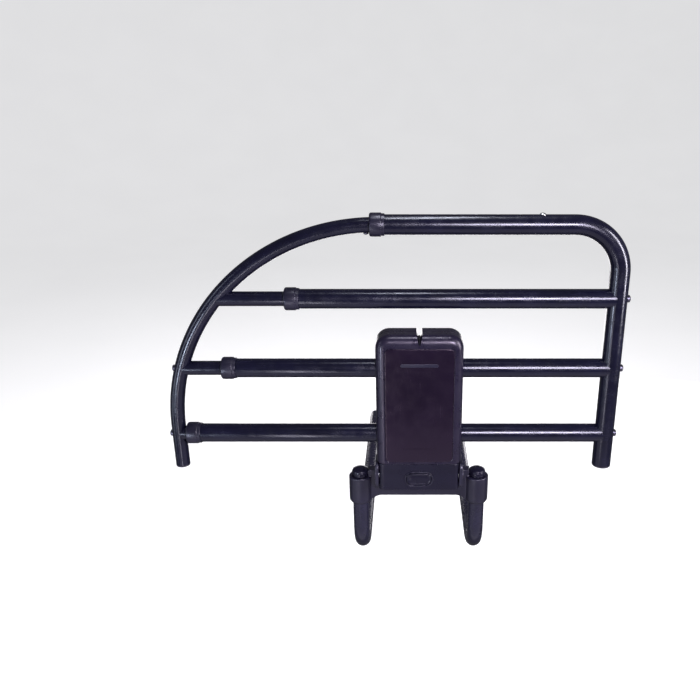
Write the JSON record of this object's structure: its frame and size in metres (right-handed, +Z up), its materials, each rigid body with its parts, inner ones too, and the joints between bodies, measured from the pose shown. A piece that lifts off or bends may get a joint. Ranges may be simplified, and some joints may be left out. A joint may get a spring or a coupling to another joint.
{
  "type": "bed assist rail",
  "caption": "Fold-down bed assist rail with telescoping horizontal rails, a large arc at one end, a central pivot housing and legs that slide under the mattress.",
  "frame": {"origin": "halfway between the two legs, where the platform that carries the mattress (Z = 0, the legs' undersides) meets the plane of the mattress's side (Y = 0)", "axes": "X runs along the bed with the end post at +X and the arc at -X, +Y points under the mattress along the legs, and +Z is up"},
  "size_m": [0.6746, 0.5534, 0.5614],
  "materials": {
    "tube_paint": "glossy powder coat",
    "leg_paint": "glossy powder coat",
    "satin_plastic": "satin, moulded",
    "gloss_panel": "high gloss",
    "plated_steel": "zinc plated",
    "dark_steel": "black oxide",
    "bright_steel": "polished",
    "spring_steel": "bright drawn wire",
    "inner_plastic": "matte, moulded",
    "buffer_rubber": "matte"
  },
  "bodies": {
    "base": {"leg_bracket": "satin_plastic", "left_leg": "leg_paint", "right_leg": "leg_paint", "leg_caps": "satin_plastic", "leg_end_plugs": "inner_plastic", "leg_bolts": "plated_steel", "pivot_pins": "plated_steel", "stop_bumpers": "buffer_rubber"},
    "rail": {"main_tube": "tube_paint", "upper_rail": "tube_paint", "middle_rail": "tube_paint", "lower_rail": "tube_paint", "rail_collars": "satin_plastic", "post_plug": "inner_plastic", "rail_bolts": "dark_steel", "rail_inserts": "inner_plastic", "housing_front": "satin_plastic", "housing_rear": "satin_plastic", "front_panel": "gloss_panel", "housing_screws": "plated_steel", "pivot_block": "satin_plastic", "pivot_bushes": "plated_steel", "block_screws": "plated_steel", "button_bezel": "satin_plastic", "release_springs": "spring_steel"},
    "button": {"release_button": "satin_plastic"},
    "latch": {"latch_bolt": "plated_steel", "latch_pin": "plated_steel"},
    "extension": {"arc_tube": "tube_paint", "upper_slide": "tube_paint", "middle_slide": "tube_paint", "lower_slide": "tube_paint", "glide_bushes": "inner_plastic", "arc_plug": "inner_plastic", "slide_bolts": "dark_steel", "slide_inserts": "inner_plastic", "stop_screw": "dark_steel", "snap_spring": "spring_steel"},
    "snap": {"snap_button": "bright_steel"}
  },
  "joints": [
    {"name": "rail_fold", "type": "hinge", "parent": "base", "child": "rail", "pos_m": [0, -0.038, 0.167], "axis": [1, 0, 0], "range_deg": [0, 180]},
    {"name": "rail_extend", "type": "slide", "parent": "rail", "child": "extension", "axis": [-1, 0, 0], "range_m": [0, 0.18]},
    {"name": "snap_press", "type": "slide", "parent": "extension", "child": "snap", "axis": [0, 0, -1], "range_m": [0, 0.0044], "stiffness_N_per_m": 500, "springref_m": -0.004, "deforming": ["snap_spring"]},
    {"name": "release_press", "type": "slide", "parent": "rail", "child": "button", "axis": [0, 1, 0], "range_m": [0, 0.005], "stiffness_N_per_m": 500, "springref_m": -0.004, "deforming": ["release_springs"]},
    {"name": "latch_retract", "type": "slide", "parent": "rail", "child": "latch", "axis": [0, -0.7071, 0.7071], "range_m": [0, 0.005]}
  ],
  "couplings": [
    {"joint": "latch_retract", "follows": "release_press", "ratio": 1}
  ]
}
